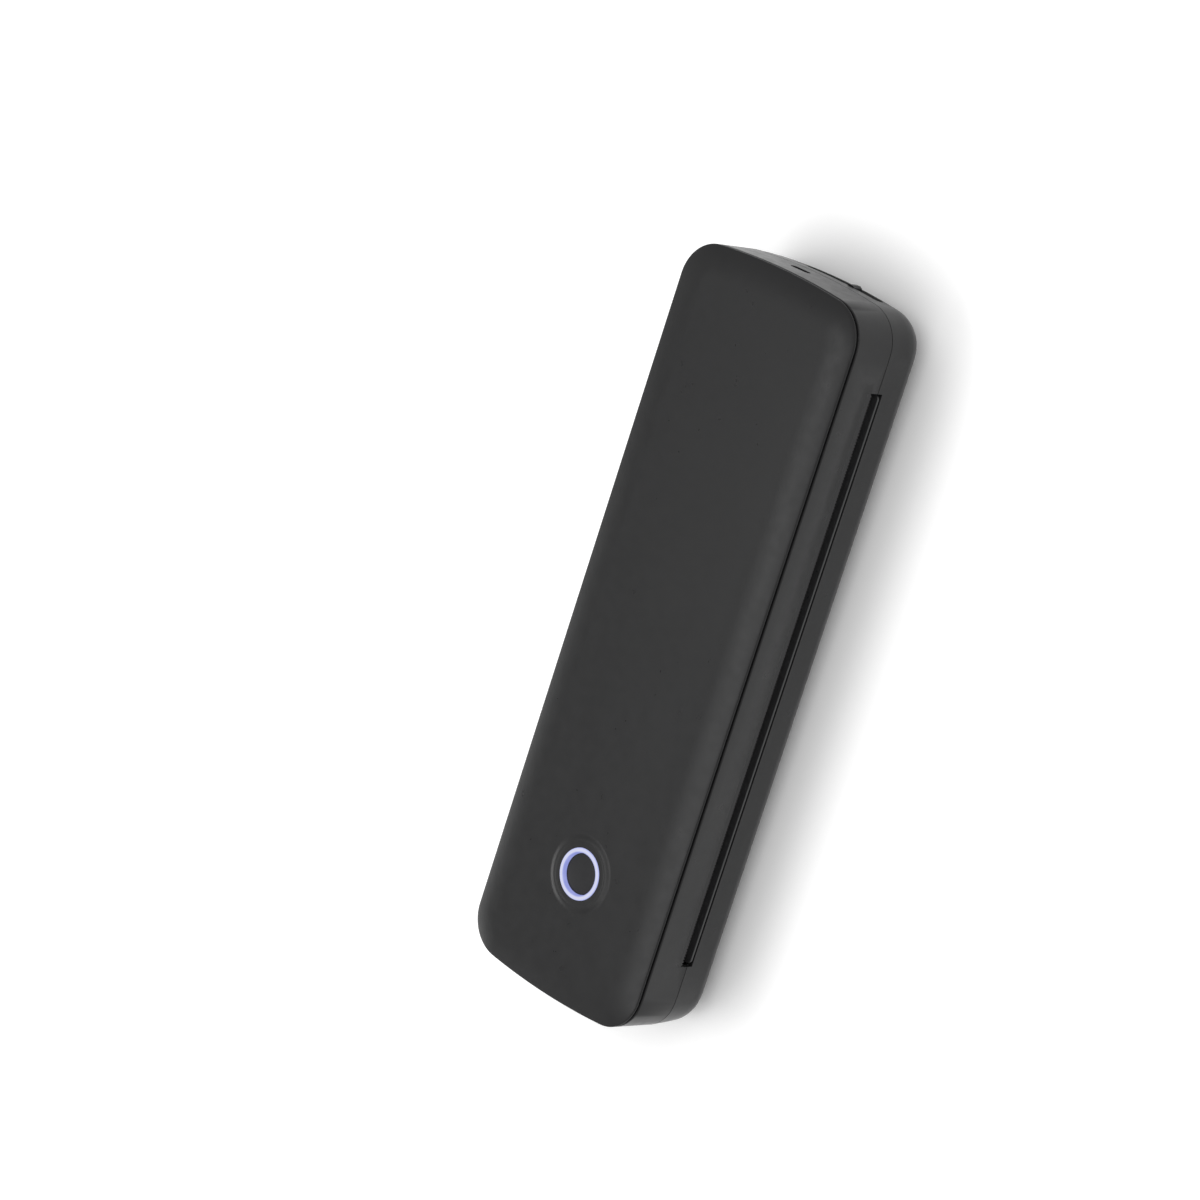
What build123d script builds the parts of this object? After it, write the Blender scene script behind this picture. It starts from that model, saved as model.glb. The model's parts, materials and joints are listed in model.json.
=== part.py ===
from build123d import *
from math import atan2, cos, degrees, pi, radians, sin, sqrt, tan
import os

# Portable thermal printer for A4-wide paper, in millimetres.
# X runs along the case, +X is the end with the charging socket and the release slider.
# The paper leaves at the front, -Y. Z is up, and the feet stand on z = 0.
# The case is a clamshell: the cover turns about two pins at the rear parting line.

# Case outline, seen from above
length = 285.0
depth = 87.0
corner_radius = 17.0
end_radius = 200.0
front = -depth / 2
rear = depth / 2
end_x = length / 2

# Levels of the case
foot_height = 1.0
parting_level = 24.3
parting_gap = 0.3
band_top = 43.2
groove_height = 1.2
groove_depth = 1.8
panel_rim = 0.9
crown_rise = 1.5
crown_run = 12.5
edge_round = 0.6

# Walls
wall = 2.2
deck = 2.2
base_taper = 10.0
base_round = 12.5
seat_gap = 0.02
running_gap = 0.05
free_gap = 0.3

# Paper path
slot_width = length - 61.0
paper_width = slot_width - 14.0
slot_low = 21.6
slot_high = 28.1
tooth_pitch = 1.12
tooth_depth = 0.8
tear_height = 1.7
tear_depth = 1.4
lip_thickness = 0.7
lip_gap = 0.6
lip_depth = 6.4
lip_leg = 1.2
lip_leg_low = 15.5
lip_radius = 2.0
guide_height = 27.6
guide_thickness = 1.4

# Platen
platen_y = front + 13.5
platen_radius = 6.0
platen_length = paper_width + 6.0
nip_gap = 0.1
nip_level = 25.2
shaft_radius = 3.0
bush_radius = 4.5
frame_inner_x = paper_width / 2 + 4.4
frame_thickness = 1.6
frame_top = 24.1
frame_shoulder = 21.0
frame_chin = 9.5
frame_keel = 6.0
frame_front = platen_y - 6.0
frame_rear = platen_y + 34.5
frame_foot = 7.0
frame_foot_front = platen_y + 15.5
frame_foot_thickness = 1.2
frame_corner = 1.5
guide_front = platen_y + 16.0

# Gear train at the -X end
gear_module = 0.6
gear_width = 4.5
gear_gap = 2.2
backlash = 0.12
platen_teeth = 18
idler_teeth = 26
pinion_teeth = 12
idler_bearing = -28.0
pinion_bearing = -11.0
idler_pin_radius = 1.5
motor_radius = 7.5
motor_length = 17.0
motor_shaft_radius = 0.75
motor_ear_reach = 9.6
motor_ear_radius = 2.4
motor_ear_thickness = 0.8
motor_boss_radius = 2.2

# Print head
head_width = paper_width + 7.0
ceramic_thickness = 0.7
ceramic_front = platen_y - 4.0
ceramic_rear = platen_y + 8.0
sink_height = 4.0
sink_front = platen_y - 5.6
sink_rear = platen_y + 14.4
sink_fin_width = 1.6
sink_fin_depth = 1.8
head_pin_y = platen_y + 12.0
head_pin_radius = 1.2
head_pin_seat = 8.0
ear_thickness = 1.8
ear_width = 6.0
spring_radius = 2.6
spring_wire = 0.35
spring_turns = 5
head_spring_spacing = paper_width / 3
head_spring_y = platen_y + 2.0

# Rear hinge
hinge_y = rear - 2.0
knuckle_radius = 2.0
hinge_pin_radius = 0.8
knuckle_start = slot_width / 2 + 2.0
knuckle_length = 3.2
knuckle_clearance = 0.3
knuckle_leaf = 5.0
hinge_relief = 36.0

# Power button and its light ring
button_x = 48.5 - end_x
ring_outer = 10.0
ring_inner = 8.15
collar_radius = 12.6
collar_height = 0.9
ring_proud = 0.2
button_recess = 1.0
button_dish = 0.5
button_flange = 8.5
flange_thickness = 0.7
button_travel = 0.6
stem_radius = 1.6
switch_gap = 0.2

# Charging socket
socket_y = 2.0
socket_z = 31.5
socket_width = 9.0
socket_height = 3.2
socket_length = 7.4
socket_wall = 0.35

# Release slider and latch
slider_slot_front = front + 18.5
slider_slot_rear = slider_slot_front + 37.0
slider_y = slider_slot_front + 14.5
slider_z = 15.5
slider_travel = 4.0
slider_slot_height = 5.0
slider_slot_recess = 1.2
slider_slot_inner = 3.2
knob_width = 5.0
knob_height = 4.4
knob_proud = 1.5
latch_sheet = 0.8
latch_clearance = 0.4
latch_front = platen_y + 2.0
latch_rear = latch_front + 7.0
hook_x = end_x - 20.5
hook_thickness = 1.6
hook_width = 5.0
hook_nose = 3.5
hook_lip = 0.8
hook_top = 28.6
catch_width = 8.0
catch_thickness = 1.3
catch_level = 25.1
wing_level = 9.4
carrier_thickness = 1.2
latch_spring_x = 60.0
latch_spring_post = latch_rear + 10.0
latch_tab_width = 6.0
spring_post_width = 8.0
spring_post_thickness = 2.0

# Cells, tray and boards
cell_radius = 7.1
cell_length = 65.0
cell_spacing_x = 67.0
cell_spacing_y = 15.4
cell_x = 91.4 - frame_inner_x
cell_y = rear - 32.0
cradle_wall = 1.6
cradle_height = 5.4
tray_top = 22.0
tray_thickness = 1.8
tray_front = platen_y + 8.5
tray_rear = rear - 4.7
tray_rib_height = 0.6
tray_rib_width = 1.2
tray_ribs = 9
post_radius = 3.0
small_post_radius = 2.4
screw_radius = 1.1
screw_head_radius = 2.1
screw_head_height = 1.4
board_thickness = 1.6
main_board_z = 31.0
main_board_size = (110.0, 38.0)
main_board_place = (0.0, rear - 30.5)
main_board_margin = 4.0
button_board_z = 33.2
button_board_size = (26.0, 20.0)
button_board_margin = 2.6
charge_board_x = (end_x - 28.9, end_x - 4.5)
charge_board_y = (socket_y - 14.0, socket_y + 16.0)
switch_size = 6.0
switch_body_height = 3.4
switch_plunger_radius = 1.7
switch_plunger_height = 0.8
cover_switch_size = (5.8, 8.0, 6.0)
cover_switch_low = 12.0
cover_switch_y = platen_y + 19.0
cover_switch_lever = (3.0, 2.0, 1.2)
cover_switch_lever_start = 2.5
sensor_size = (6.0, 5.0)
sensor_x = 48.0

# Chips on the main board: x, y, width, depth, height, measured from the board's centre
chips = [
    (-30.0, 1.0, 10.0, 10.0, 1.2),
    (-12.0, -5.0, 6.0, 5.0, 1.0),
    (6.0, 5.0, 8.0, 8.0, 1.4),
    (26.0, -5.0, 7.0, 6.0, 1.2),
    (30.0, 11.0, 12.0, 5.0, 3.2),
    (-30.0, 14.0, 10.0, 4.0, 3.2),
]

# Feet
foot_radius = 5.0
foot_inset = 0.6
foot_round = 0.5
foot_x = end_x - 30.5
foot_y = rear - 22.5

# Levels and places that follow
base_floor = foot_height + wall
cover_bottom = parting_level + parting_gap
hinge_z = parting_level + parting_gap / 2
deck_low = band_top - deck
panel_low = band_top + groove_height
panel_shoulder = panel_low + panel_rim
top_level = panel_shoulder + crown_rise
platen_z = nip_level - platen_radius
ceramic_low = nip_level + nip_gap
sink_low = ceramic_low + ceramic_thickness
sink_top = sink_low + sink_height
tooth_tip = slot_high - tooth_depth
lip_top = slot_low + lip_gap + lip_thickness
frame_outer_x = frame_inner_x + frame_thickness
gear_plane = -(frame_outer_x + gear_gap)
ring_top = top_level + collar_height + ring_proud
tray_low = tray_top - tray_thickness
guide_top = guide_height + guide_thickness


def block(x0, x1, y0, y1, z0, z1):
    """A box between six faces."""
    centre = ((x0 + x1) / 2, (y0 + y1) / 2, (z0 + z1) / 2)
    return Pos(*centre) * Box(abs(x1 - x0), abs(y1 - y0), abs(z1 - z0))


def rod_x(x0, x1, y, z, radius):
    """A round bar along X."""
    return Pos((x0 + x1) / 2, y, z) * Rot(0, 90, 0) * Cylinder(radius, abs(x1 - x0))


def rod_z(x, y, z0, z1, radius):
    """A round bar along Z."""
    return Pos(x, y, (z0 + z1) / 2) * Cylinder(radius, abs(z1 - z0))


def side_profile(x0, x1, outline):
    """A plate between x0 and x1 with the given closed outline in (y, z)."""
    face = make_face(Polyline(*outline, close=True))
    return extrude(Plane.YZ.offset(x0) * face, amount=x1 - x0)


def plan_outline(inset=0.0, level=0.0):
    """The case's outline from above: straight sides, round corners and slightly bowed ends."""
    end_centre = end_x - end_radius
    corner_y = rear - corner_radius
    corner_x = end_centre + sqrt((end_radius - corner_radius) ** 2 - corner_y ** 2)
    bow = degrees(atan2(corner_y, corner_x - end_centre))
    corner = corner_radius - inset
    end = end_radius - inset
    edges = []
    for side, turn in ((1, 0), (-1, 180)):
        edges += [
            CenterArc((side * corner_x, -side * corner_y), corner, turn - 90, 90 - bow),
            CenterArc((side * end_centre, 0), end, turn - bow, 2 * bow),
            CenterArc((side * corner_x, side * corner_y), corner, turn + bow, 90 - bow),
            Line((side * corner_x, side * (rear - inset)),
                 (-side * corner_x, side * (rear - inset))),
        ]
    return Pos(0, 0, level) * make_face(edges)


def tapered_tub(inset):
    """The base's form, or its hollow when inset: tapered walls and a large round at the bottom."""
    low = foot_height + inset
    body = extrude(plan_outline(inset, parting_level), amount=low - parting_level, taper=base_taper)
    return fillet(body.edges().group_by(Axis.Z)[0], base_round - inset)


def end_wall_x(level, y=0.0, inset=0.0):
    """How far out the base's end wall stands at a level."""
    bow = end_radius - sqrt(end_radius ** 2 - y ** 2)
    return length / 2 - bow - inset - (parting_level - level) * tan(radians(base_taper))


def hinge_relief_wedge():
    """The wedge behind the hinge line that lets the cover swing past the rear wall."""
    reach = depth / 2 - hinge_y + 1
    rise = reach * tan(radians(hinge_relief))
    outline = [(hinge_y, hinge_z), (hinge_y + reach, hinge_z - rise), (hinge_y + reach, hinge_z + rise)]
    return side_profile(-length / 2, length / 2, outline)


def knuckle_spans(side):
    """Three knuckles on one side: base, cover, base."""
    starts = [knuckle_start + i * (knuckle_length + running_gap) for i in range(3)]
    return [(side * start, side * (start + knuckle_length)) for start in starts]


def knuckle(span, leaf_level):
    """A hinge knuckle with a leaf that joins it to its wall."""
    barrel = rod_x(span[0], span[1], hinge_y, hinge_z, knuckle_radius)
    leaf = block(span[0], span[1], hinge_y - knuckle_radius, hinge_y + knuckle_radius, hinge_z, leaf_level)
    return barrel + leaf


def knuckle_room(span):
    """The room that a knuckle needs in the other half of the case."""
    x0, x1 = sorted(span)
    radius = knuckle_radius + knuckle_clearance
    return (rod_x(x0 - running_gap, x1 + running_gap, hinge_y, hinge_z, radius)
            + block(x0 - running_gap, x1 + running_gap, hinge_y, depth, hinge_z - radius, hinge_z + radius))


def hinge_bore(side):
    """The bore for one hinge pin."""
    x0 = side * (knuckle_start - 1)
    x1 = side * (knuckle_start + 3 * knuckle_length + 1)
    return rod_x(x0, x1, hinge_y, hinge_z, hinge_pin_radius + running_gap)


def screw(x, y, seat, tip, head_side):
    """A pan-head screw whose head sits against the level seat; head_side is +1 above it, -1 below."""
    shank = rod_z(x, y, seat, tip, screw_radius)
    head = rod_z(x, y, seat, seat + head_side * screw_head_height, screw_head_radius)
    return shank + head


def write(name, shape):
    """One STEP file per piece."""
    export_step(shape, "parts/" + name + ".step")


sides = (-1, 1)
tray_posts = [(x, y) for x in (21.4 - frame_inner_x, 0.0, frame_inner_x - 13.4)
              for y in (platen_y + 16.4, rear - 8.0)]
panel_screw_places = [(side * x, y) for side in sides for x in (end_x - 18.5, 38.0)
                      for y in (front + 17.5, rear - 16.5)]
guide_post_x = main_board_size[0] / 2 + 11.0
guide_posts = [(side * guide_post_x, y) for side in sides for y in (platen_y + 22.0, rear - 9.5)]
guide_posts += [(side * (frame_inner_x - 9.4), rear - 9.5) for side in sides]
main_board_posts = [(main_board_place[0] + sx * (main_board_size[0] / 2 - main_board_margin),
                     main_board_place[1] + sy * (main_board_size[1] / 2 - main_board_margin))
                    for sx in sides for sy in sides]
button_board_posts = [(button_x + side * (button_board_size[0] / 2 - button_board_margin), 0.0)
                      for side in sides]
charge_board_posts = [(charge_board_x[0] + 3.4, y) for y in (charge_board_y[0] + 3, charge_board_y[1] - 3)]
frame_screw_places = [(side * (frame_outer_x + frame_foot / 2), frame_rear - 2.4) for side in sides]
foot_places = [(sx * foot_x, sy * foot_y) for sx in sides for sy in sides]
head_spring_places = [(i * head_spring_spacing, head_spring_y) for i in (-1, 0, 1)]


def base_shell():
    """The lower case half, with its slots, hinge knuckles, tray posts and foot recesses."""
    outer = tapered_tub(0.0)
    shell = outer - tapered_tub(wall)
    for x, y in tray_posts:
        shell += rod_z(x, y, base_floor - 1, tray_low, post_radius) & outer
    half_post = spring_post_width / 2
    spring_post = block(latch_spring_x - half_post, latch_spring_x + half_post, latch_spring_post,
                        latch_spring_post + spring_post_thickness, base_floor - 1,
                        base_floor + 2 * spring_radius + 1)
    shell += spring_post
    half = slot_width / 2
    shell -= block(-half, half, -depth, frame_front, slot_low, depth)
    shell -= block(-half, half, tray_rear, depth, slot_low, depth)
    shell -= hinge_relief_wedge()
    for side in (-1, 1):
        first, middle, last = knuckle_spans(side)
        shell -= knuckle_room(middle)
        for span in (first, last):
            shell += knuckle(span, parting_level - knuckle_leaf)
        shell -= hinge_bore(side)
    inner = half_round_slot(slider_slot_inner, slider_slot_front + 1, slider_slot_rear - 1)
    shell -= inner
    shell -= half_round_slot(slider_slot_height, slider_slot_front, slider_slot_rear) & (
        outer - Pos(-slider_slot_recess, 0, 0) * outer)
    for x, y in tray_posts:
        shell -= rod_z(x, y, tray_low - 8, tray_low + 1, screw_radius + seat_gap)
    for x, y in frame_screw_places:
        shell -= rod_z(x, y, foot_height + 0.6, base_floor + 1, screw_radius + seat_gap)
    for x, y in foot_places:
        shell -= rod_z(x, y, 0, foot_height + foot_inset, foot_radius + running_gap)
    return shell


def half_round_slot(height, front, rear):
    """A slot with round ends through the +X end wall."""
    face = Pos((front + rear) / 2, slider_z) * SlotOverall(rear - front, height)
    return extrude(Plane.YZ.offset(length / 2 - 20) * face, amount=20)


def rubber_feet():
    """Four round feet, pressed into their recesses."""
    feet = []
    for x, y in foot_places:
        foot = rod_z(x, y, 0, foot_height + foot_inset, foot_radius)
        feet.append(fillet(foot.edges().group_by(Axis.Z)[0], foot_round))
    return Compound(children=feet)


def cover_housing():
    """The upper case half: band, deck, posts for all that hangs from it, catches and knuckles."""
    outer = extrude(plan_outline(0, cover_bottom), amount=band_top - cover_bottom)
    outer = fillet(outer.edges().group_by(Axis.Z)[-1], edge_round)
    shell = outer - extrude(plan_outline(wall, cover_bottom), amount=deck_low - cover_bottom)
    for x, y in guide_posts:
        shell += rod_z(x, y, guide_top, deck_low, post_radius)
    for x, y in main_board_posts:
        shell += rod_z(x, y, main_board_z + board_thickness, deck_low, post_radius)
    for x, y in button_board_posts:
        shell += rod_z(x, y, button_board_z + board_thickness, deck_low, small_post_radius)
    for x, y in charge_board_posts:
        shell += rod_z(x, y, charge_board_top(), deck_low, post_radius)
    for x, y in head_spring_places:
        shell += rod_z(x, y, deck_low - 4, deck_low, spring_radius - 2 * spring_wire - free_gap)
    half = slot_width / 2
    shell -= block(-half, half, -depth, 0, 0, slot_high)
    shell -= block(-half, half, -depth, -depth / 2 + tear_depth, 0, slot_high + tear_height)
    shell -= block(-half, half, 0, depth, 0, guide_height)
    shell -= hinge_relief_wedge()
    for side in (-1, 1):
        first, middle, last = knuckle_spans(side)
        shell -= knuckle_room(first)
        shell -= knuckle_room(last)
        shell += knuckle(middle, cover_bottom + knuckle_leaf)
        shell -= hinge_bore(side)
        shell += head_ear(side)
        shell += catch(side)
    shell -= socket_mouth()
    shell -= rod_z(button_x, 0, deck_low - 1, band_top + 1, button_flange + free_gap)
    for x, y in panel_screw_places:
        shell -= rod_z(x, y, deck_low - 1, band_top + 1, screw_radius + seat_gap)
    for x, y in guide_posts:
        shell -= rod_z(x, y, guide_top - 1, guide_top + 8, screw_radius + seat_gap)
    for x, y in main_board_posts:
        shell -= rod_z(x, y, main_board_z, main_board_z + 8, screw_radius + seat_gap)
    for x, y in button_board_posts:
        shell -= rod_z(x, y, button_board_z, button_board_z + 6, screw_radius + seat_gap)
    for x, y in charge_board_posts:
        shell -= rod_z(x, y, charge_board_top() - 1, charge_board_top() + 8, screw_radius + seat_gap)
    return shell


def head_ear(side):
    """The ear under the deck that carries one head pin."""
    x0 = side * (head_width / 2 + free_gap)
    x1 = x0 + side * ear_thickness
    ear = block(x0, x1, head_pin_y - ear_width / 2, head_pin_y + ear_width / 2, head_pin_z(), deck_low)
    ear += rod_x(x0, x1, head_pin_y, head_pin_z(), ear_width / 2)
    return ear - rod_x(x0 - side, x1 + side, head_pin_y, head_pin_z(), head_pin_radius + running_gap)


def head_pin_z():
    """The level of the head's pivot pins."""
    return sink_low + sink_height / 2


def catch(side):
    """The shelf behind the front wall that a latch hook reaches over."""
    x0 = side * (hook_x + hook_thickness / 2 - catch_width / 2)
    x1 = side * (hook_x + hook_thickness / 2 + catch_width / 2)
    rear = latch_front - hook_nose - free_gap
    return block(x0, x1, -depth / 2 + wall / 2, rear, catch_level, catch_level + catch_thickness)


def socket_mouth(growth=0.0):
    """The rounded mouth for the charging socket in the +X end wall."""
    face = Pos(socket_y, socket_z) * SlotOverall(socket_width + growth, socket_height + growth)
    return extrude(Plane.YZ.offset(length / 2 - 5) * face, amount=6)


def charge_board_top():
    """The board lies right under its socket."""
    return socket_z - socket_height / 2


def tear_edge():
    """The saw-tooth strip: a row of pointed teeth along the lower front edge of the cover."""
    half = slot_width / 2 - seat_gap
    count = int(2 * half / tooth_pitch)
    start = -count * tooth_pitch / 2
    points = [(-half, slot_high + tear_height), (-half, slot_high)]
    for i in range(count):
        points.append((start + i * tooth_pitch, slot_high))
        points.append((start + (i + 0.5) * tooth_pitch, tooth_tip))
    points += [(-start, slot_high), (half, slot_high), (half, slot_high + tear_height)]
    face = Plane.XZ.offset(depth / 2) * make_face(Polyline(*points, close=True))
    return extrude(face, amount=-(tear_depth - seat_gap))


def exit_guide():
    """The smooth lip below the slot, with a leg down behind the front wall."""
    half = slot_width / 2 - lip_gap
    front = -depth / 2 + (parting_level - lip_top) * tan(radians(base_taper)) + 0.2
    lip = block(-half, half, front, front + lip_depth, lip_top - lip_thickness, lip_top)
    lip = fillet(lip.edges().filter_by(Axis.Z).group_by(Axis.Y)[0], lip_radius)
    lip = fillet(lip.edges().group_by(Axis.Z)[-1].sort_by(Axis.Y)[0], lip_thickness * 0.45)
    inner_wall = -depth / 2 + wall + (parting_level - lip_leg_low) * tan(radians(base_taper))
    leg_front = inner_wall + free_gap
    return lip + block(-half + lip_radius, half - lip_radius, leg_front, leg_front + lip_leg,
                       lip_leg_low, lip_top - lip_thickness)


def top_panel():
    """The large cover plate with its rolled-off rim, standing over the shadow gap."""
    plate = extrude(plan_outline(0, panel_low), amount=top_level - panel_low)
    top = plate.faces().sort_by(Axis.Z)[-1]
    plate = chamfer(top.edges(), crown_run, crown_rise, reference=top)
    plate = fillet(plate.edges().group_by(Axis.Z)[0], edge_round)
    plate += rod_z(button_x, 0, top_level - 0.5, top_level + collar_height, collar_radius)
    collar = plate.edges().filter_by(GeomType.CIRCLE).group_by(Axis.Z)[-1]
    plate = fillet(collar, collar_height * 0.8)
    ring = extrude(plan_outline(groove_depth, band_top), amount=groove_height)
    ring -= extrude(plan_outline(groove_depth + wall, band_top), amount=groove_height)
    plate += ring
    for x, y in panel_screw_places:
        plate += rod_z(x, y, band_top, panel_low, post_radius)
    plate += rod_z(button_x, 0, band_top, panel_low, ring_outer + wall)
    for x, y in panel_screw_places:
        plate -= rod_z(x, y, band_top - 1, panel_low + 1, screw_radius + seat_gap)
    return plate - rod_z(button_x, 0, band_top - 1, ring_top + 1, ring_outer + running_gap)


def light_ring():
    """The translucent ring round the power button, seated on the deck."""
    ring = rod_z(button_x, 0, band_top, ring_top, ring_outer)
    ring -= rod_z(button_x, 0, band_top - 1, ring_top + 1, ring_inner)
    rim = ring.edges().filter_by(GeomType.CIRCLE).group_by(Axis.Z)[-1]
    return fillet(rim, 0.35)


def power_button():
    """The dished cap, its flange under the ring and its stem down to the switch."""
    cap_top = ring_top - button_recess
    cap_radius = ring_inner - free_gap
    flange_top = band_top - 0.2
    dish_radius = (cap_radius ** 2 + button_dish ** 2) / (2 * button_dish)
    cap = rod_z(button_x, 0, flange_top - flange_thickness, cap_top, cap_radius)
    cap -= Pos(button_x, 0, cap_top + dish_radius - button_dish) * Sphere(dish_radius)
    cap += rod_z(button_x, 0, flange_top - flange_thickness, flange_top, button_flange)
    stem_low = button_board_z + board_thickness + switch_body_height + button_travel + switch_gap
    return cap + rod_z(button_x, 0, stem_low, flange_top, stem_radius)


def button_switch():
    """A square tact switch on the button board."""
    low = button_board_z + board_thickness
    half = switch_size / 2
    body_top = low + switch_body_height - switch_plunger_height
    body = block(button_x - half, button_x + half, -half, half, low, body_top)
    return body + rod_z(button_x, 0, low, low + switch_body_height, switch_plunger_radius)


def board(x0, x1, y0, y1, low, holes):
    """A circuit board with screw holes."""
    plate = block(x0, x1, y0, y1, low, low + board_thickness)
    for x, y in holes:
        plate -= rod_z(x, y, low - 1, low + board_thickness + 1, screw_radius + running_gap)
    return plate


def main_board():
    """The main circuit board under the deck."""
    x, y = main_board_place
    dx, dy = main_board_size[0] / 2, main_board_size[1] / 2
    return board(x - dx, x + dx, y - dy, y + dy, main_board_z, main_board_posts)


def board_chips():
    """Processor, memory, driver and connectors on top of the main board."""
    low = main_board_z + board_thickness
    centre_x, centre_y = main_board_place
    bodies = []
    for x, y, chip_width, chip_depth, chip_height in chips:
        left = centre_x + x - chip_width / 2
        near = centre_y + y - chip_depth / 2
        bodies.append(block(left, left + chip_width, near, near + chip_depth, low, low + chip_height))
    return Compound(children=bodies)


def button_board():
    """The small board that carries the switch."""
    dx, dy = button_board_size[0] / 2, button_board_size[1] / 2
    return board(button_x - dx, button_x + dx, -dy, dy, button_board_z, button_board_posts)


def charge_board():
    """The board behind the charging socket."""
    return board(*charge_board_x, *charge_board_y, charge_board_top() - board_thickness, charge_board_posts)


def charge_socket():
    """The metal shell of the socket with its tongue."""
    x1 = length / 2 - wall - 0.2
    x0 = x1 - socket_length
    face = Pos(socket_y, socket_z) * SlotOverall(socket_width, socket_height)
    hole_size = (socket_width - 2 * socket_wall, socket_height - 2 * socket_wall)
    hole = Pos(socket_y, socket_z) * SlotOverall(*hole_size)
    shell = extrude(Plane.YZ.offset(x0) * face, amount=socket_length)
    shell -= extrude(Plane.YZ.offset(x0 + 1) * hole, amount=socket_length)
    tongue = block(x0 + 0.5, x1 - 1.2, socket_y - 3.2, socket_y + 3.2, socket_z - 0.35, socket_z + 0.35)
    return shell + tongue


def upper_guide():
    """The plate in the cover that guides the paper from above."""
    half = frame_inner_x
    plate = block(-half, half, guide_front, depth / 2 - wall - free_gap, guide_height, guide_top)
    for x, y in guide_posts:
        plate -= rod_z(x, y, guide_height - 1, guide_top + 1, screw_radius + running_gap)
    return plate


def heat_sink():
    """The head's aluminium bar with fins milled along its top."""
    half = head_width / 2
    bar = block(-half, half, sink_front, sink_rear, sink_low, sink_top)
    y = sink_front + 2 * sink_fin_width
    while y < sink_rear - 2 * sink_fin_width:
        if abs(y + sink_fin_width / 2 - head_spring_y) > spring_radius + sink_fin_width:
            bar -= block(-half, half, y, y + sink_fin_width, sink_top - sink_fin_depth, sink_top + 1)
        y += 2 * sink_fin_width
    for side in (-1, 1):
        bar -= rod_x(side * (half - head_pin_seat), side * (half + 1), head_pin_y, head_pin_z(),
                     head_pin_radius + seat_gap)
    return bar


def head_pins():
    """Two steel pins on which the head rocks."""
    pins = []
    for side in (-1, 1):
        x0 = side * (head_width / 2 - head_pin_seat + 0.2)
        x1 = side * (head_width / 2 + free_gap + ear_thickness)
        pins.append(rod_x(x0, x1, head_pin_y, head_pin_z(), head_pin_radius))
    return Compound(children=pins)


def head_ceramic():
    """The glazed strip with the heating dots, on the underside of the heat sink."""
    half = head_width / 2
    return block(-half, half, ceramic_front, ceramic_rear, ceramic_low, sink_low)


def coil(x, y, low, high, radius, wire, turns):
    """A coil spring along Z between two levels, closed at its ends by the wire's own thickness."""
    rise = high - low - 2 * wire
    path = Helix(pitch=rise / turns, height=rise, radius=radius - wire)
    section = Plane(path @ 0, z_dir=path % 0) * Circle(wire)
    return Pos(x, y, low + wire) * sweep(section, path)


def head_springs():
    """Three springs that press the head down on the platen."""
    return Compound(children=[coil(x, y, sink_top, deck_low, spring_radius, spring_wire, spring_turns)
                              for x, y in head_spring_places])


def platen_rubber():
    """The rubber sleeve of the platen roller."""
    half = platen_length / 2
    sleeve = rod_x(-half, half, platen_y, platen_z, platen_radius)
    return sleeve - rod_x(-half - 1, half + 1, platen_y, platen_z, shaft_radius + seat_gap)


def platen_shaft():
    """The platen's steel shaft, out to the gear."""
    return rod_x(gear_plane - gear_width - 0.5, frame_outer_x + 1.5, platen_y, platen_z, shaft_radius)


def platen_bushes():
    """Plain bushes in the side frames, with a flange on the inside."""
    bushes = []
    for side in (-1, 1):
        bush = rod_x(side * frame_inner_x, side * (frame_outer_x + 0.6), platen_y, platen_z, bush_radius)
        bush += rod_x(side * (frame_inner_x - 0.8), side * frame_inner_x, platen_y, platen_z,
                      bush_radius + 0.6)
        bush -= rod_x(side * (frame_inner_x - 2), side * (frame_outer_x + 2), platen_y, platen_z,
                      shaft_radius + running_gap)
        bushes.append(bush)
    return Compound(children=bushes)


def involute(angle):
    return tan(angle) - angle


def gear(teeth, phase, centre, bore):
    """A spur gear about X with involute flanks; one tooth points along phase, in degrees."""
    pitch_radius = gear_module * teeth / 2
    pressure = radians(20)
    base_radius = pitch_radius * cos(pressure)
    outer_radius = pitch_radius + gear_module
    root_radius = pitch_radius - 1.25 * gear_module
    half_tooth = pi / (2 * teeth) - backlash / (4 * pitch_radius)
    steps = 4
    start = max(base_radius, root_radius)
    flank = []
    for i in range(steps):
        radius = start + (outer_radius - start) * i / (steps - 1)
        angle = half_tooth + involute(pressure)
        if radius > base_radius:
            cosine = base_radius / radius
            angle -= tan(atan2(sqrt(1 - cosine ** 2), cosine)) - atan2(sqrt(1 - cosine ** 2), cosine)
        flank.append((radius, angle))
    tooth = [(root_radius, -flank[0][1])] if root_radius < start else []
    tooth += [(r, -a) for r, a in flank] + [(r, a) for r, a in reversed(flank)]
    tooth += [(root_radius, flank[0][1])] if root_radius < start else []
    points = []
    for i in range(teeth):
        middle = radians(phase) + 2 * pi * i / teeth
        points += [(r * cos(middle + a), r * sin(middle + a)) for r, a in tooth]
    face = make_face(Polyline(*points, close=True)) - Circle(bore)
    wheel = extrude(Plane.YZ * face, amount=gear_width)
    return Pos(gear_plane - gear_width, *centre) * wheel


def meshed_phase(phase, teeth, next_teeth, bearing):
    """The phase of the next gear, so that its gap meets this gear's tooth on the line of centres."""
    pitch_angle = 360 / teeth
    offset = (phase - bearing) % pitch_angle
    return bearing + 180 - offset * teeth / next_teeth + 180 / next_teeth


def stepped(centre, distance, bearing):
    """The point at a distance from centre, along a bearing in the YZ plane."""
    return (centre[0] + distance * cos(radians(bearing)), centre[1] + distance * sin(radians(bearing)))


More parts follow.
